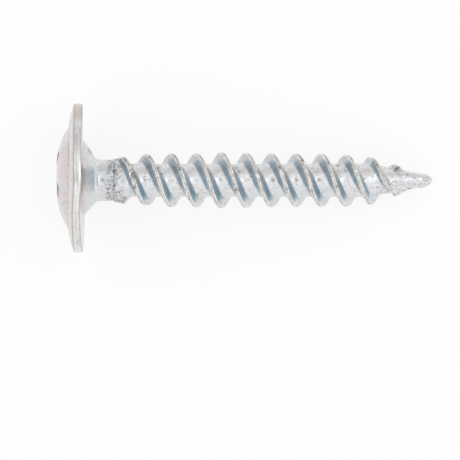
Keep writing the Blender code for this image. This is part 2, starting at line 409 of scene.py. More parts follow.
def head_edge_profile(rim):
    """The head outside the dome and the shank up to the thread, as distances and radii."""
    edge, foot = DOME_DIAMETER / 2, DOME_DIAMETER / 2 + GROOVE_LEAN
    groove_base = (CROWN_PLACE + GROOVE_DEPTH, foot)
    inside_edge = edge - 0.3
    inside = (float(dome_place(inside_edge)), inside_edge)
    corner = (DOME_EDGE_PLACE, edge)
    dome_edge = rounded_corner(inside, corner, groove_base, DOME_EDGE_ROUNDING, CORNER_STEPS)
    share = np.linspace(0, 1, GROOVE_STEPS + 1)
    rise = (1 - np.cos(np.pi * share)) / 2
    groove = np.stack([
        CROWN_PLACE + GROOVE_DEPTH * (1 - rise),
        foot + (GROOVE_WIDTH - GROOVE_LEAN) * share,
    ], 1)
    upper, lower = (-RIM_THICKNESS, rim), (0, rim)
    wide, narrow = (0, NECK_DIAMETER / 2), (NECK_LENGTH, SHANK_DIAMETER / 2)
    swell_start = (SWELL_PLACE, SHANK_DIAMETER / 2)
    top = bowed_line(groove[-1], upper, FLANGE_ARC_RADIUS, FLANGE_STEPS)
    rim_top = rounded_corner(top[-2], upper, lower, RIM_ROUNDING, CORNER_STEPS)
    rim_base = rounded_corner(upper, lower, wide, RIM_ROUNDING, CORNER_STEPS)
    to_seat = rounded_corner(lower, wide, narrow, SEAT_FILLET, CORNER_STEPS)
    to_shank = rounded_corner(wide, narrow, swell_start, SHANK_FILLET, FILLET_STEPS)
    return joined(
        dome_edge,
        line(dome_edge[-1], groove[0], 2),
        groove,
        top[:-1],
        rim_top,
        line(rim_top[-1], rim_base[0], RIM_STEPS),
        rim_base,
        line(rim_base[-1], to_seat[0], SEAT_STEPS),
        to_seat,
        line(to_seat[-1], to_shank[0], NECK_STEPS),
        to_shank,
        line(to_shank[-1], swell_start, SHANK_STEPS),
        line(swell_start, (THREAD_START, SHANK_DIAMETER / 2 + SHANK_SWELL), SWELL_STEPS),
    )


def turn_of(columns):
    """Angle round the axis of each column of vertices. The first lies along a wing of the recess."""
    return 2 * np.pi * np.asarray(columns) / COLUMNS + RECESS_TURN


def middle_at(place):
    """How far the middle of the screw lies off its axis. The neck leads back from the head's offset."""
    return HEAD_OFFSET * np.clip(1 - place / NECK_LENGTH, 0, 1)


def section_outline(width, wing_width, corner_radius):
    """The recess across the axis as one point for each column, wing by wing from the middle of the first
    wing's end: half the end, a side, the rounded metal between two wings, a side and half an end. Also
    how far out each point lies along its wing, and how far off the wing's middle, both from 0 to 1."""
    reach, half_wing = width / 2, wing_width / 2
    centre = half_wing + corner_radius
    bend = np.linspace(-np.pi / 2, -np.pi, BETWEEN_WINGS_STEPS + 1)
    quarter = joined(
        line((reach, 0), (reach, half_wing), WING_END_STEPS),
        line((reach, half_wing), (centre, half_wing), WING_SIDE_STEPS),
        np.stack([centre + corner_radius * np.cos(bend), centre + corner_radius * np.sin(bend)], 1),
        line((half_wing, centre), (half_wing, reach), WING_SIDE_STEPS),
        line((half_wing, reach), (0, reach), WING_END_STEPS),
    )[:-1]
    turned = [(quarter[:, 0] + 1j * quarter[:, 1]) * 1j**index for index in range(4)]
    points = np.concatenate(turned)
    sides = np.sort(np.abs([points.real, points.imag]), axis=0)
    return points * np.exp(1j * RECESS_TURN), sides[1] / reach, np.minimum(sides[0] / half_wing, 1)


def recess_wall():
    """Foot of the recess's wall and a line above the dome that it points to, as places and points."""
    floor = DOME_TOP_PLACE + RECESS_DEPTH
    spread = math.tan(RECESS_TAPER)
    floor_width = RECESS_WIDTH - 2 * RECESS_DEPTH * spread
    mouth_width = RECESS_WIDTH + 2 * CUTTER_RISE * spread
    foot, far_out, aside = section_outline(floor_width, WING_FLOOR_WIDTH, FLOOR_CORNER_RADIUS)
    above = section_outline(mouth_width, WING_WIDTH, CORNER_RADIUS)[0]
    foot_place = floor + RECESS_CONE * (1 - far_out) + FLOOR_KEEL * (1 - aside)
    return foot_place, foot, np.full(COLUMNS, DOME_TOP_PLACE - CUTTER_RISE), above


def mouth_share(foot_place, foot, above_place, above):
    """How far up the wall of the recess meets the dome, as a share of its way to the line above."""
    low, high = np.zeros(COLUMNS), np.ones(COLUMNS)
    for _ in range(BISECTIONS):
        middle = (low + high) / 2
        surface_place = dome_place(np.abs(foot + (above - foot) * middle))
        outside = foot_place + (above_place - foot_place) * middle < surface_place
        low, high = np.where(outside, low, middle), np.where(outside, middle, high)
    return low


def head_middle_rows():
    """The recess and the dome round it, as rows of points (place, across, up), from the middle out."""
    foot_place, foot, above_place, above = recess_wall()
    mouth_at = mouth_share(foot_place, foot, above_place, above)
    deepest = DOME_TOP_PLACE + RECESS_DEPTH + RECESS_CONE
    rows = [(np.full(COLUMNS, deepest), np.zeros(COLUMNS, complex))]
    for step in np.linspace(0, 1, FLOOR_ROWS + 1)[1:]:
        rows.append((deepest + (foot_place - deepest) * step, foot * step))
    for step in np.linspace(0, 1, WALL_ROWS + 1)[1:]:
        rise = mouth_at * step
        rows.append((foot_place + (above_place - foot_place) * rise, foot + (above - foot) * rise))
    mouth = rows[-1][1]
    edge = (DOME_DIAMETER / 2 - DOME_EDGE_ROUNDING * 0.7) * np.exp(1j * turn_of(range(COLUMNS)))
    for step in np.linspace(0, 1, DOME_ROWS + 1)[1:]:
        radius = np.abs(mouth) * (1 - step) + np.abs(edge) * step
        swing = np.angle(edge / mouth) * step
        points = radius * np.exp(1j * (np.angle(mouth) + swing))
        rows.append((dome_place(radius), points))
    return [np.stack([place, HEAD_OFFSET + point.real, point.imag], 1) for place, point in rows]


def ring(place, radius):
    """A ring of vertices round the screw at that place."""
    turn = turn_of(range(COLUMNS))
    across = middle_at(place) + radius * np.cos(turn)
    return np.stack([np.full(COLUMNS, place), across, radius * np.sin(turn)], 1)


def cone_slope():
    """Fall of the point's cone for each unit of length, from the thread's root to the round nose."""
    root = ROOT_DIAMETER / 2
    to_nose = POINT_LENGTH - NOSE_RADIUS
    lean = math.atan2(root, to_nose) - math.asin(NOSE_RADIUS / math.hypot(to_nose, root))
    return math.tan(lean)


def ridge_share(offset):
    """Height of a ridge of the thread at a distance from the middle of its crest: 1 at the crest, 0 at
    its feet, and a little less between two ridges, where the root is hollow."""
    half_crest = CREST_WIDTH / 2
    full = (THREAD_DIAMETER - ROOT_DIAMETER) / 2
    head_foot, tip_foot = -half_crest - HEAD_FLANK, half_crest + TIP_FLANK
    places = [head_foot, -half_crest, -half_crest / 2, half_crest / 2, half_crest, tip_foot]
    shoulder = 1 - CREST_ROUNDING / full
    heights = [0, shoulder, 1, 1, shoulder, 0]
    spread = np.linspace(-EDGE_SOFTNESS, EDGE_SOFTNESS, 9)
    height = np.mean([np.interp(offset + step, places, heights) for step in spread], axis=0)
    along_root = np.mod(offset - tip_foot, THREAD_PITCH) / (THREAD_PITCH - tip_foot + head_foot)
    return height - ROOT_HOLLOW / full * np.sin(np.pi * np.minimum(along_root, 1))


def surface_radius(place, turn, ridge):
    """Radius of the threaded part. Ridge is 0 at the root of the thread and 1 at its crest. The roots
    start later on the side that lies on top. Towards the point the ridges lose their height from below,
    so that they also narrow."""
    root, shank = ROOT_DIAMETER / 2, SHANK_DIAMETER / 2 + SHANK_SWELL
    start = ROOT_START + ROOT_DELAY * max(math.sin(turn), 0) ** 2
    sunk = smooth_step((place - start) / ROOT_RUN_IN)
    cone = root - np.maximum(place - (LENGTH - POINT_LENGTH), 0) * cone_slope()
    cone = cone + NOSE_SWELL * band(place, NOSE_SWELL_START, NOSE_SWELL_END, NOSE_SWELL_EDGE)
    core = shank * (1 - sunk) + cone * sunk
    rise = 1 - (1 - np.clip((place - THREAD_START) / RISE_LENGTH, 0, 1)) ** 3
    full = THREAD_DIAMETER / 2 + CREST_SWELL * bell(place - CREST_SWELL_PLACE, CREST_SWELL_REACH)
    crest = shank + (full - shank) * rise
    faded = np.clip((place - (LENGTH - BARE_POINT - FADE_LENGTH)) / FADE_LENGTH, 0, 1)
    left = (1 - faded**2) * smooth_step((THREAD_END - place) / THREAD_END_LENGTH)
    ridge = np.where(ridge > 0, np.maximum(ridge - (1 - left), 0), ridge * left)
    return core + ridge * (crest - shank * (1 - sunk) - root * sunk)


def thread_offsets():
    """Distances of one pitch's rows from the middle of the crest, closest together on the ridge."""
    half_crest, past_foot = CREST_WIDTH / 2, 1.5 * EDGE_SOFTNESS
    head_foot, tip_foot = -half_crest - HEAD_FLANK - past_foot, half_crest + TIP_FLANK + past_foot
    return joined(
        line(head_foot, -half_crest, HEAD_FLANK_STEPS)[:, None],
        line(-half_crest, half_crest, CREST_STEPS)[:, None],
        line(half_crest, tip_foot, TIP_FLANK_STEPS)[:, None],
        line(tip_foot, head_foot + THREAD_PITCH, ROOT_STEPS)[:, None],
    )[:-1, 0]


def lumps(points, size, seed):
    """Smooth random values from 0 to 1 in space, with lumps of about that size."""
    table = np.random.default_rng(seed).random((LUMP_CELLS, LUMP_CELLS, LUMP_CELLS))
    cell = np.floor(points / size).astype(int)
    share = smooth_step(points / size - cell)
    total = np.zeros(len(points))
    for corner in np.ndindex(2, 2, 2):
        weight = np.prod(np.where(corner, share, 1 - share), axis=1)
        x, y, z = ((cell + corner) % LUMP_CELLS).T
        total += weight * table[x, y, z]
    return total


class Skin:
    """Vertices and faces of the screw, with what each vertex lies on."""

    def __init__(self):
        self.points = []
        self.faces = []
        self.ridge = []
        self.offset = []

    def add_points(self, points, ridge, offset):
        first = len(self.points)
        self.points.extend(points)
        self.ridge.extend(np.broadcast_to(ridge, len(points)))
        self.offset.extend(np.broadcast_to(offset, len(points)))
        return np.arange(first, len(self.points))

    def add_face(self, *corners):
        distinct = list(dict.fromkeys(int(corner) for corner in corners))
        if len(distinct) > 2:
            self.faces.append(distinct)

    def add_rings(self, rings):
        """Closed rings of vertices, each joined to the next. A ring of one point becomes one vertex."""
        made = []
        for points in rings:
            if np.ptp(points, axis=0).max() < SHORT:
                made.append(np.repeat(self.add_points(points[:1], 0, THREAD_PITCH), COLUMNS))
            else:
                made.append(self.add_points(points, 0, THREAD_PITCH))
        for near, far in zip(made, made[1:]):
            for column in range(COLUMNS):
                beside = (column + 1) % COLUMNS
                self.add_face(near[column], near[beside], far[beside], far[column])
        return made

    def add_thread(self, first_ring, last_ring):
        """The threaded part. Its rows follow the helix, and a row that would pass a ring ends on it."""
        offsets = thread_offsets()
        lead = THREAD_PITCH * THREAD_STARTS
        rows_per_turn = len(offsets) * THREAD_STARTS
        start, end = self.points[first_ring[0]][0], self.points[last_ring[0]][0]
        first_pitch = math.floor((start - CREST_PLACE - 2 * lead) / THREAD_PITCH)
        last_pitch = math.ceil((end - CREST_PLACE) / THREAD_PITCH) + 1
        pitches = np.arange(first_pitch, last_pitch)
        row_places = (CREST_PLACE + THREAD_PITCH * pitches[:, None] + offsets).ravel()
        row_offsets = np.tile(offsets, len(pitches))
        margin = lead / COLUMNS / 3
        index = np.zeros((len(row_places), COLUMNS + 1), int)
        for column in range(COLUMNS):
            turn = turn_of(column)
            places = row_places + lead * turn / (2 * np.pi)
            inside = (places > start + margin) & (places < end - margin)
            places, offset = places[inside], row_offsets[inside]
            ridge = ridge_share(offset)
            radius = surface_radius(places, turn, ridge)
            across = middle_at(places) + radius * np.cos(turn)
            points = np.stack([places, across, radius * np.sin(turn)], 1)
            index[:, column] = first_ring[column]
            index[np.cumsum(inside) >= inside.sum(), column] = last_ring[column]
            index[inside, column] = self.add_points(points, ridge, offset)
        index[:-rows_per_turn, COLUMNS] = index[rows_per_turn:, 0]
        index[-rows_per_turn:, COLUMNS] = last_ring[0]
        for row in range(len(row_places) - 1):
            for column in range(COLUMNS):
                self.add_face(
                    index[row, column],
                    index[row, column + 1],
                    index[row + 1, column + 1],
                    index[row + 1, column],
                )


def screw_skin(rim):
    """The smooth screw, with a flange of that radius."""
    skin = Skin()
    edge = [ring(place, radius) for place, radius in head_edge_profile(rim)]
    head = skin.add_rings(head_middle_rows() + edge[1:])
    lean = math.atan(cone_slope())
    nose_centre = (LENGTH - NOSE_RADIUS, 0)
    nose = arc(nose_centre, NOSE_RADIUS, np.pi / 2 - lean, 0, NOSE_STEPS)
    tip = skin.add_rings([ring(place, radius) for place, radius in nose])
    skin.add_thread(head[-1], tip[0])
    return skin


class Surface:
    """Where each point of the skin lies on the screw."""

    def __init__(self, skin):
        self.points = np.array(skin.points)
        self.ridge, self.offset = np.array(skin.ridge), np.array(skin.offset)
        self.place, self.side, self.up = self.points.T
        middle = np.stack([middle_at(self.place), np.zeros(len(self.place))], 1)
        out = self.points[:, 1:] - middle
        self.radius = np.linalg.norm(out, axis=1)
        self.out = out / np.maximum(self.radius, SHORT)[:, None]
        self.row = (np.arange(len(self.place)) - 1) // COLUMNS + 1
        self.coarse = lumps(self.points, COARSE_LUMP, 1)
        self.fine = lumps(self.points, FINE_LUMP, 2)
        self.tiny = lumps(self.points, TINY_LUMP, 4)
        self.seam = bell(self.offset - SEAM_WANDER * (0.5 - self.coarse), SEAM_WIDTH)


def near_spot(surface, middle, reach):
    """1 at the middle of a spot, falling to 0 round it."""
    return bell(np.linalg.norm(surface.points - middle, axis=1), reach)


def stains(surface):
    """How much of the dark spots lies at every point."""
    total = 0
    for place, side, reach in STAINS:
        total = total + bell(np.hypot(surface.place - place, surface.side - side), reach)
    return np.minimum(total, 1) * (surface.up > -0.1)


def shaded_lips(surface):
    """How much painted shade lies on the crests' lip that faces the point, on the far left of the screw.
    """
    lip = bell(surface.offset - LIP_PLACE, LIP_WIDTH)
    along = band(surface.place, THREAD_START + 0.5, THREAD_END - 1, 0.5)
    return 0.75 * lip * along * smooth_step((surface.side - 1.15) / 0.4) * (0.4 + surface.coarse)


def flank_reflection(surface):
    """How much painted blue reflection lies on the flanks. On the screw's upper side as it lies, the
    flanks that face its point carry most of it on the right, and those that face its head on the left.
    On its lower side it is the other way round. At the far left and right they carry the least."""
    side, height = surface.side, np.abs(surface.up)
    lean = -side * np.sign(surface.offset * surface.up)
    to_head = (0.34 + 0.18 * lean) * smooth_step((height + 0.1) / 1.1)
    to_head = to_head * (1 - 0.75 * smooth_step((side - 1.05) / 0.5))
    to_tip = (0.33 + 0.62 * lean) * smooth_step((height - 0.7) / 0.5)
    started = 1 - band(surface.place, 1, 3.1, 0.4) * smooth_step((0.3 - side) / 0.6)
    least = 0.1 + 0.14 * smooth_step((side - 0.8) / 0.6)
    return np.clip(np.where(surface.offset > 0, to_tip, to_head), least, 0.85) * started


def at_thread_start(surface):
    """1 where the thread starts, on the upper side of the shank as it lies."""
    start = band(surface.place, 2.4, 3.9, 0.4)
    return start * smooth_step((surface.side + 1.0) / 0.5) * smooth_step((surface.up - 0.2) / 0.5)


def first_furrow(surface):
    """The furrow that the rolling presses into the shank before the first flank. It is 1 where the
    furrow is deepest, and falls evenly to 0 at the crest."""
    half_crest = CREST_WIDTH / 2
    foot = -half_crest - HEAD_FLANK
    places = [foot - FURROW_WIDTH, foot - FURROW_MIDDLE, -half_crest]
    furrow = np.interp(surface.offset, places, [0, 1, 0])
    return furrow * at_thread_start(surface) * smooth_step((surface.side - 0.3) / 0.6)


def recess_kinds(surface):
    """How much of the recess's floor with its painted highlight, its walls with their painted shade, its
    mouth and the painted shadow in the ends of its wings lies at every point, from 0 to 1.
    """
    place, row = surface.place, surface.row
    recess = row <= MOUTH_ROW
    below = smooth_step((place - dome_place(surface.radius) - 0.05) / 0.5)
    along_wing = (surface.side - HEAD_OFFSET + 1j * surface.up) * np.exp(-1j * RECESS_TURN)
    far_out = np.maximum(np.abs(along_wing.real), np.abs(along_wing.imag))
    at_wing_end = smooth_step((far_out - 1.75) / 0.2)
    return {
        # the floor of the recess carries a painted highlight
        "floor": row <= FLOOR_ROWS,
        # the walls below the dome and at the wings' ends carry painted shade
        "recess": recess * (row > FLOOR_ROWS) * np.maximum(below, at_wing_end),
        "mouth_edge": band(row, MOUTH_ROW - 1, MOUTH_ROW, 1) * recess,
        # painted shadow in the ends of the wings
        "recess_corner_shadow": smooth_step((far_out - 1.95) / 0.1) * recess * (row > MOUTH_ROW - 6),
    }


def head_kinds(surface):
    """How much of each kind of surface that the head has lies at every point, from 0 to 1."""
    place, radius = surface.place, surface.radius
    solid = surface.row > MOUTH_ROW
    top = place < -RIM_THICKNESS + 0.02
    underside = (place < 0.35) & (radius > NECK_DIAMETER / 2 - 0.3)
    corners = bell(place + RIM_THICKNESS, 0.06) + bell(place, 0.06)
    # The groove carries a painted dark reflection, which reaches further out towards the left and right
    from_dome = radius - DOME_DIAMETER / 2 - 0.06
    reach = 0.3 + (0.4 + 0.9 * lumps(surface.points, 1.3, 5)) * surface.out[:, 0] ** 2
    groove = smooth_step(from_dome / 0.04) * (1 - np.clip((from_dome - 0.05) / reach, 0, 1))
    return {
        "face": (top | underside) & solid,
        "rim": band(place, -RIM_THICKNESS + 0.06, -0.06, 0.05) * (radius > 5),
        # painted shade along the rim's corners
        "rim_corner_shade": corners * band(radius, 5.25, 5.6, 0.06),
        "turned": band(place, -RIM_THICKNESS, 1.6, 0.2) * solid,
        "groove": groove * top * solid,
        # painted shade on the rim's left end
        "rim_left_shade": smooth_step((surface.side - 4.0) / 0.8) * (place > -RIM_THICKNESS) * (place < 0),
    }


def thread_kinds(surface):
    """How much of each kind of surface that the shank, the thread and the point have lies at every
    point, from 0 to 1."""
    place, radius = surface.place, surface.radius
    risen = smooth_step((place - THREAD_START + 0.2) / 0.5) * smooth_step((THREAD_END - place) / 0.6)
    rolled = sum(bell(place - mark, 0.045) for mark in ROLL_MARKS)
    # The flank mask is a painted blue reflection, also on the roll marks and along the first flank where
    # the thread starts
    flank = band(surface.ridge, 0.15, 0.85, 0.12) * risen * flank_reflection(surface)
    first = 0.72 * at_thread_start(surface) * band(surface.offset, -0.43, -0.2, 0.05)
    ragged = place + 0.5 * (surface.coarse - 0.5)
    ends = smooth_step((np.abs(surface.side) - 1.15) / 0.4) * smooth_step(surface.ridge / 0.2) * risen
    crest = np.exp(-((surface.offset / 0.17) ** 4)) * risen
    return {
        # The crests carry a painted highlight, and the ridges along the right outline a weaker one
        "crest": np.maximum(crest, 0.25 * ends * (surface.side < 0)),
        "seam": surface.seam * risen,
        "flank": np.maximum.reduce([flank, 0.5 * rolled * (radius < 2), first]),
        "grit": band(ragged, 1.85, 3.0, 0.25) * (radius < 2.2),
        "point": band(place, LENGTH - 4.2, LENGTH, 0.8),
        # painted shade on the ridges along the left outline
        "left_ridge_shade": 0.27 * ends * (surface.side > 0),
    }


def kinds(surface):
    """The masks of the surface, each with a value from 0 to 1 at every point."""
    recess, head = recess_kinds(surface), head_kinds(surface)
    thread = thread_kinds(surface)
    masks = {**recess, **head, **thread}
    # The edge mask carries painted shade along the rim's corners, and a line round the recess's mouth
    masks["edge"] = np.maximum(head["rim_corner_shade"], recess["mouth_edge"])
    # Besides the dark spots, the stain mask carries the painted shadow in the wings' ends and the painted
    # shade on the crests' lips
    dirt_and_shade = np.maximum.reduce([stains(surface), recess["recess_corner_shadow"], shaded_lips(surface)])
    masks["stain_and_shade"] = np.clip(dirt_and_shade, 0, 1)
    # The left side shade is painted shade on the rim's left end and on the ridges along the left outline
    masks["left_side_shade"] = np.maximum(head["rim_left_shade"], thread["left_ridge_shade"])
    return masks


def dents(surface, masks):
    """How far the dents, pits and seams of rolled and plated wire lie below the smooth surface."""
    place, coarse = surface.place, surface.coarse
    fine, tiny = surface.fine - 0.5, surface.tiny - 0.5
    nicks = smooth_step((lumps(surface.points, NICK_SIZE, 3) - 0.6) / 0.25)
    hollow_rim = ((place + RIM_THICKNESS / 2) / (RIM_THICKNESS / 2)) ** 2
    dent = masks["rim"] * (RIM_BULGE * hollow_rim + RIM_UNEVENNESS * coarse)
    dent += masks["crest"] * (CREST_UNEVENNESS * coarse + NICK_DEPTH * nicks)
    dent += masks["crest"] * CREST_HOLLOW * bell(surface.offset, CREST_HOLLOW_WIDTH)
    dent += masks["seam"] * SEAM_DEPTH * coarse
    dent += masks["grit"] * GRIT_UNEVENNESS * (fine + tiny)
    for mark in ROLL_MARKS:
        dent += ROLL_MARK_DEPTH * bell(place - mark, ROLL_MARK_WIDTH) * (surface.radius < 2) * coarse
    for middle, depth, reach in LOW_SPOTS:
        dent += depth * near_spot(surface, middle, reach) * np.clip(surface.ridge, 0, 1)
    for middle, height, reach in BURRS:
        dent -= height * near_spot(surface, middle, reach)
    dent += FURROW_DEPTH * first_furrow(surface) + STAIN_DEPTH * masks["stain_and_shade"]
    dent += masks["point"] * (POINT_UNEVENNESS * (coarse - 0.5) + POINT_FINE_UNEVENNESS * fine)
    dent += THREAD_UNEVENNESS * fine * (place > THREAD_START)
    dent += NOSE_WEAR * smooth_step((place - LENGTH + 0.5) / 0.3)
    return dent


def worn(surface, masks):
    """The points of the skin with their dents, with the lower half of the flange in the image twisted
    a little, and with the flange thinner on the side that lies on top."""
    moved = surface.points.copy()
    moved[:, 1:] -= surface.out * dents(surface, masks)[:, None]
    flange = band(surface.place, -1.1, 0.1, 0.4) * smooth_step(surface.radius - 3)
    low = smooth_step(-surface.side / 3)
    seat_side = smooth_step(1 + surface.place / RIM_THICKNESS)
    moved[:, 0] -= FLANGE_TWIST * flange * low * surface.up / 5
    moved[:, 0] -= FLANGE_WEAR * flange * seat_side * smooth_step((surface.up - 2) / 3)
    return moved


def crest_ways(surface):
    """Place of each point across and along the crest of its ridge."""
    lead = THREAD_PITCH * THREAD_STARTS
    along = (surface.place - surface.offset) * 2 * np.pi / lead * THREAD_DIAMETER / 2
    return np.stack([surface.offset, along, np.zeros(len(along))], 1)


class Nodes:
    """Adds shader nodes to a material or a world."""

    def __init__(self, tree):
        self.tree = tree
        self.tree.nodes.clear()

    def add(self, kind, inputs=None, **settings):
        """A node with these settings. An input's value is a constant or the output that feeds it."""
        made = self.tree.nodes.new("ShaderNode" + kind)
        for name, value in settings.items():
            setattr(made, name, value)
        for name, value in (inputs or {}).items():
            if isinstance(value, bpy.types.NodeSocket):
                self.tree.links.new(value, made.inputs[name])
            else:
                made.inputs[name].default_value = value
        return made

    def math(self, operation, first, second):
        return self.add("Math", {0: first, 1: second}, operation=operation).outputs[0]

    def times(self, first, second):
        return self.math("MULTIPLY", first, second)

    def larger(self, first, second):
        return self.math("MAXIMUM", first, second)

    def mix(self, share, first, second):
        """The first colour, with that share of the second."""
        made = self.add("Mix", {0: share, 6: first, 7: second}, data_type="RGBA")
        return made.outputs[2]

    def ramp(self, value, low, high, to_low=0.0, to_high=1.0):
        """The value, stretched from the range low to high to the range to_low to to_high."""
        inputs = {0: value, 1: low, 2: high, 3: to_low, 4: to_high}
        return self.add("MapRange", inputs, interpolation_type="SMOOTHSTEP").outputs[0]

    def noise(self, coordinates, lumps_per_mm, detail=2.0, roughness=0.5):
        inputs = {"Vector": coordinates, "Scale": lumps_per_mm, "Detail": detail, "Roughness": roughness}
        return self.add("TexNoise", inputs).outputs[0]

    def stretch(self, coordinates, scale):
        return self.add("VectorMath", {0: coordinates, 1: scale}, operation="MULTIPLY").outputs[0]

    def attribute(self, name):
        return self.add("Attribute", attribute_name=name).outputs["Fac"]


def zinc_patterns(nodes):
    """The random patterns of the plating. Streaks run along the crests, and lines round the head."""
    own = nodes.add("Attribute", attribute_name="own_place").outputs["Vector"]
    way = nodes.add("Attribute", attribute_name="crest_way").outputs["Vector"]
    return {
        "tints": nodes.noise(own, 0.4, 1),
        "clouds": nodes.noise(own, 0.9, 3),
        "mottle": nodes.noise(own, 4.5, 4, 0.65),
        "specks": nodes.noise(own, 5.0, 4, 0.75),
        "grain": nodes.noise(own, 11.0, 3, 0.6),
        "crumbs": nodes.noise(own, 14.0, 2, 0.8),
        "streaks": nodes.noise(nodes.stretch(way, (13.0, 1.3, 1.0)), 1.0, 3, 0.6),
        "lines": nodes.noise(nodes.stretch(own, (9.0, 0.5, 0.5)), 1.0, 3, 0.6),
    }


def clean_colour(nodes, masks, patterns):
    """Colour of the plating where it is neither dull, worn nor dirty, with its painted reflection on the
    flanks, painted highlights and painted shade.
    """
    colour = nodes.mix(nodes.ramp(patterns["clouds"], 0.35, 0.65), ZINC_BLUE, ZINC_GREY)
    face = nodes.mix(nodes.ramp(patterns["tints"], 0.4, 0.6), FACE_PINK, FACE_LILAC)
    # The flanks carry a painted reflection; the crests, the recess's floor and the point carry painted
    # highlights; the recess and the left side carry painted shade
    layers = (
        ("face", 1.0, face),
        ("rim", 1.0, RIM_WARM),
        ("left_side_shade", 0.6, LEFT_SIDE_SHADE),
        ("flank", 1.0, FLANK_REFLECTION_TEAL),
        ("crest", 0.85, CREST_HIGHLIGHT),
        ("recess", 1.0, RECESS_SHADE_TEAL),
        ("floor", 1.0, RECESS_FLOOR_HIGHLIGHT),
        ("point", 0.35, NOSE_HIGHLIGHT),
    )
    for name, most, layer in layers:
        colour = nodes.mix(nodes.times(masks[name], most), colour, layer)
    return colour


def dullness(nodes, masks, patterns):
    """Share of the dull grey film. It lies in mottles, and in lines round the head and the neck."""
    mottles = nodes.times(nodes.ramp(patterns["mottle"], 0.45, 0.68), 0.5)
    lines = nodes.times(nodes.ramp(patterns["lines"], 0.5, 0.65), masks["turned"])
    lines = nodes.times(lines, nodes.ramp(masks["rim"], 0.0, 1.0, 0.4, 0.8))
    film = nodes.larger(mottles, lines)
    return nodes.times(film, nodes.ramp(masks["point"], 0.0, 1.0, 1.0, 0.4))


def pits(nodes, masks, patterns):
    """Share of the dark pits. They crowd in the rough ring and on the point, lie in loose groups on the
    thread, and are few elsewhere."""
    specks, clouds = patterns["specks"], patterns["clouds"]
    rough = nodes.larger(masks["grit"], nodes.times(masks["point"], 0.45))
    crowded = nodes.times(nodes.ramp(specks, 0.48, 0.54), rough)
    crowded = nodes.times(crowded, nodes.ramp(clouds, 0.3, 0.6, 0.35, 1.0))
    few = nodes.times(nodes.ramp(specks, 0.65, 0.7), 0.8)
    threaded = nodes.math("SUBTRACT", 1.0, masks["turned"])
    groups = nodes.times(nodes.ramp(specks, 0.6, 0.63), nodes.ramp(clouds, 0.45, 0.55))
    return nodes.larger(nodes.larger(crowded, few), nodes.times(groups, threaded))


def groove_dark_reflection(nodes, masks, patterns):
    """Share of the painted dark reflection in the groove, in black specks that thin out into crumbs on
    the flange.
    """
    gritty = nodes.math("ADD", patterns["crumbs"], nodes.times(masks["groove"], 0.4))
    return nodes.times(nodes.ramp(gritty, 0.66, 0.72), nodes.ramp(masks["groove"], 0.0, 0.1))


def wear_and_edge_shade(nodes, masks, patterns):
    """Share of the brown: wear in streaks and a seam along the crests, painted shade along the rim's
    corners, and a line round the recess's mouth.
    """
    streaks = nodes.times(nodes.ramp(patterns["streaks"], 0.57, 0.6), masks["crest"])
    seam = nodes.times(nodes.ramp(patterns["grain"], 0.25, 0.5), masks["seam"])
    crests = nodes.larger(streaks, nodes.times(seam, 0.9))
    return nodes.larger(crests, nodes.times(masks["edge"], 0.75))


def plating_colour(nodes, masks, patterns, pitted):
    """Colour of the plating with its film, pits, wear and stains, with the painted shade along the rim's
    corners, on the crests' lips and in the recess's corners, and the painted dark reflection in the
    groove.
    """
    grain = patterns["grain"]
    dirt_and_shade = nodes.mix(nodes.ramp(grain, 0.45, 0.6), PIT_AND_SHADE_GREY, WEAR_AND_SHADE_BROWN)
    stain_and_shade_share = nodes.times(masks["stain_and_shade"], nodes.ramp(grain, 0.3, 0.5, 0.4, 0.9))
    colour = clean_colour(nodes, masks, patterns)
    colour = nodes.mix(dullness(nodes, masks, patterns), colour, PATINA)
    colour = nodes.mix(nodes.times(pitted, 0.75), colour, dirt_and_shade)
    colour = nodes.mix(nodes.times(wear_and_edge_shade(nodes, masks, patterns), 0.64), colour, WEAR_AND_SHADE_BROWN)
    colour = nodes.mix(nodes.times(groove_dark_reflection(nodes, masks, patterns), 0.9), colour, GROOVE_DARK_REFLECTION)
    return nodes.mix(stain_and_shade_share, colour, dirt_and_shade)


def plating_roughness(nodes, masks, patterns, pitted):
    """Roughness of the plating. The rim, the faces of the head and the point are smoother."""
    faces = nodes.larger(masks["rim"], masks["face"])
    smooth = nodes.larger(faces, nodes.times(masks["point"], 0.6))
    mottled = nodes.ramp(patterns["mottle"], 0.3, 0.7, 0.24, 0.4)
    roughness = nodes.times(mottled, nodes.ramp(smooth, 0.0, 1.0, 1.0, 0.6))
    return nodes.math("ADD", roughness, nodes.times(pitted, 0.25))


def plating_bump(nodes, patterns, pitted):
    """Normal of the plating, with its mottles, grain and pits."""
    mottle, grain = nodes.times(patterns["mottle"], 0.6), nodes.times(patterns["grain"], 0.3)
    height = nodes.math("SUBTRACT", nodes.math("ADD", mottle, grain), nodes.times(pitted, 0.8))
    return nodes.add("Bump", {"Height": height, "Strength": 0.35, "Distance": 0.03 * MM}).outputs[0]


def zinc_plating():
    """Bright zinc plating on rolled steel: mottled, with a painted blue reflection on the flanks, and
    worn brown on the crests; it also carries painted highlights and shade.
    """
    material = bpy.data.materials.new("zinc_plated_steel")
    material.use_nodes = True
    nodes = Nodes(material.node_tree)
    masks = {name: nodes.attribute(name) for name in SURFACES}
    patterns = zinc_patterns(nodes)
    pitted = pits(nodes, masks, patterns)
    shader = nodes.add("BsdfPrincipled", {
        "Base Color": plating_colour(nodes, masks, patterns, pitted),
        "Metallic": 1.0,
        "Roughness": plating_roughness(nodes, masks, patterns, pitted),
        "Normal": plating_bump(nodes, patterns, pitted),
    })
    nodes.add("OutputMaterial", {"Surface": shader.outputs[0]})
    return material


def seen_directly(nodes):
    """1 for rays from the camera, in reflections and through glass, and 0 for the light on things."""
    path = nodes.add("LightPath").outputs
    seen = nodes.larger(path["Is Camera Ray"], path["Is Glossy Ray"])
    return nodes.larger(seen, path["Is Transmission Ray"])


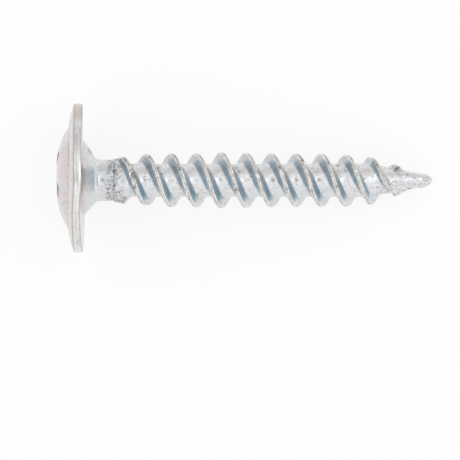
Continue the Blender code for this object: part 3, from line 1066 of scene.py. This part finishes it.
def table_top():
    """White paper that keeps the shadow of what lies on it."""
    material = bpy.data.materials.new("white_paper")
    material.use_nodes = True
    nodes = Nodes(material.node_tree)
    place = nodes.add("TexCoord").outputs["Object"]
    mm = nodes.add("VectorMath", {0: place, "Scale": 1 / MM}, operation="SCALE").outputs[0]
    colour = nodes.mix(nodes.noise(mm, 0.05), PAPER_DARK, PAPER_LIGHT)
    paper = nodes.add("BsdfDiffuse", {"Color": colour}).outputs[0]
    white = nodes.add("Emission", {"Strength": 1.0}).outputs[0]
    share = nodes.times(seen_directly(nodes), 0.8)
    surface = nodes.add("MixShader", {0: share, 1: paper, 2: white}).outputs[0]
    nodes.add("OutputMaterial", {"Surface": surface})
    return material


def add_floor():
    """A white table top under the screw."""
    half = FLOOR_WIDTH / 2 * MM
    data = bpy.data.meshes.new("floor")
    corners = [(-half, -half, 0), (half, -half, 0), (half, half, 0), (-half, half, 0)]
    data.from_pydata(corners, [], [(0, 1, 2, 3)])
    data.materials.append(table_top())
    floor = bpy.data.objects.new("floor", data)
    bpy.context.scene.collection.objects.link(floor)


def room_light(nodes, laid):
    """Colour of the room in each direction. It is darker high up over both ends of the screw, beyond its
    head on both sides and at the camera, and brighter low down beyond its point."""
    direction = nodes.add("TexCoord").outputs["Generated"]
    along, across, up = laid.to_3x3().col

    def facing(way):
        return nodes.add("VectorMath", {0: direction, 1: way}, operation="DOT_PRODUCT").outputs["Value"]

    def near_top(outer, inner):
        return nodes.ramp(height, math.cos(outer), math.cos(inner))

    to_head, to_tip, to_left, height = facing(-along), facing(along), facing(across), facing(up)
    over_head = nodes.times(nodes.ramp(to_head, 0.5, 0.85), nodes.ramp(height, 0.35, 0.6))
    over_tip = nodes.times(nodes.ramp(to_tip, 0.5, 0.85), nodes.ramp(height, 0.45, 0.6))
    low_tip = nodes.times(nodes.ramp(to_tip, 0.7, 0.9), nodes.ramp(height, 0.45, 0.3))
    aside = nodes.ramp(nodes.math("ABSOLUTE", to_left, 0.0), 0.3, 0.5)
    beside_head = nodes.times(nodes.ramp(to_head, 0.6, 0.8), aside)
    light = nodes.mix(nodes.ramp(to_left, -0.9, 0.9), ROOM_NEAR_SIDE, ROOM_FAR_SIDE)
    light = nodes.mix(low_tip, light, ROOM_WINDOW)
    light = nodes.mix(beside_head, light, ROOM_DOOR)
    light = nodes.mix(near_top(math.radians(60), math.radians(25)), light, ROOM_TOP)
    light = nodes.mix(nodes.math("ADD", over_head, over_tip), light, ROOM_END)
    light = nodes.mix(near_top(LENS_ANGLE * 2.3, LENS_ANGLE * 1.7), light, LENS_RING)
    lens = nodes.times(near_top(LENS_ANGLE * 1.4, LENS_ANGLE * 0.6), 0.45)
    return nodes.mix(lens, light, LENS_GREY)


def add_studio(laid):
    """A room that lights the screw evenly in white. Only reflections find the places in it."""
    world = bpy.data.worlds.new("studio")
    bpy.context.scene.world = world
    world.use_nodes = True
    nodes = Nodes(world.node_tree)
    glossy = nodes.add("LightPath").outputs["Is Glossy Ray"]
    light = nodes.mix(glossy, ROOM_WHITE, room_light(nodes, laid))
    background = nodes.add("Background", {"Color": light, "Strength": 1.0})
    nodes.add("OutputWorld", {"Surface": background.outputs[0]})


def add_lamp(laid, name, tilt, turn, distance, size, power):
    """A square soft lamp that far from the screw, tilted from straight above towards one side."""
    data = bpy.data.lights.new(name, "AREA")
    data.size = size * MM
    data.energy = power
    lamp = bpy.data.objects.new(name, data)
    middle = Matrix.Translation((LENGTH / 2 * MM, 0, 0))
    swing = Matrix.Rotation(turn, 4, "Z") @ Matrix.Rotation(tilt, 4, "Y")
    lamp.matrix_world = laid @ middle @ swing @ Matrix.Translation((0, 0, distance * MM))
    bpy.context.scene.collection.objects.link(lamp)


def add_camera(laid):
    """A camera above the screw, with its seat and its axis at their column and row of the image."""
    data = bpy.data.cameras.new("camera")
    data.sensor_width = SENSOR_WIDTH
    data.lens = SENSOR_WIDTH * CAMERA_DISTANCE / (IMAGE_SIZE / PIXELS_PER_MM)
    data.clip_start, data.clip_end = 0.01, 10
    camera = bpy.data.objects.new("camera", data)
    along = (IMAGE_SIZE / 2 - SEAT_COLUMN) / PIXELS_PER_MM
    across = (AXIS_ROW - IMAGE_SIZE / 2) / PIXELS_PER_MM
    camera.matrix_world = laid @ Matrix.Translation(Vector((along, across, CAMERA_DISTANCE)) * MM)
    bpy.context.scene.collection.objects.link(camera)
    bpy.context.scene.camera = camera


def screw_pose(record):
    """The pose of the screw's own frame in the scene, from the mount on the underside of its flange."""
    seat = record["mounts"][0]
    axis = Vector(seat["axis"])
    dip = Matrix.Rotation(math.atan2(-axis.z, axis.x), 4, "Y")
    return Matrix.Translation(seat["pos_m"]) @ dip @ Matrix.Translation((0, -SEAT_MOUNT_OFFSET * MM, 0))


def add_vectors(data, name, vectors):
    """Gives every vertex a vector that the material can read."""
    made = data.attributes.new(name, "FLOAT_VECTOR", "POINT")
    made.data.foreach_set("vector", vectors.astype(np.float32).ravel())


def add_screw(laid, rim):
    """The screw with its looks, in place of its CAD solid, with a flange of that radius."""
    skin = screw_skin(rim)
    surface = Surface(skin)
    masks = kinds(surface)
    points = worn(surface, masks)
    data = bpy.data.meshes.new("screw")
    data.from_pydata(points * MM, [], skin.faces)
    for name in SURFACES:
        values = data.attributes.new(name, "FLOAT", "POINT")
        values.data.foreach_set("value", masks[name].astype(np.float32))
    add_vectors(data, "own_place", points)
    add_vectors(data, "crest_way", crest_ways(surface))
    data.transform(laid)
    data.shade_smooth()
    data.materials.append(zinc_plating())
    screw = bpy.data.objects.new("screw", data)
    bpy.context.scene.collection.objects.link(screw)
    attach(screw, "root")
    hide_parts("wafer_head_screw")


def main():
    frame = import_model()
    cad_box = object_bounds()
    laid = screw_pose(frame["record"])
    add_screw(laid, (cad_box[1].y - cad_box[0].y) / 2 / MM)
    add_floor()
    add_studio(laid)
    add_lamp(laid, "key", KEY_TILT, KEY_TURN, KEY_DISTANCE, KEY_SIZE, KEY_POWER)
    add_camera(laid)
    bpy.context.scene.view_settings.view_transform = "Standard"


main()
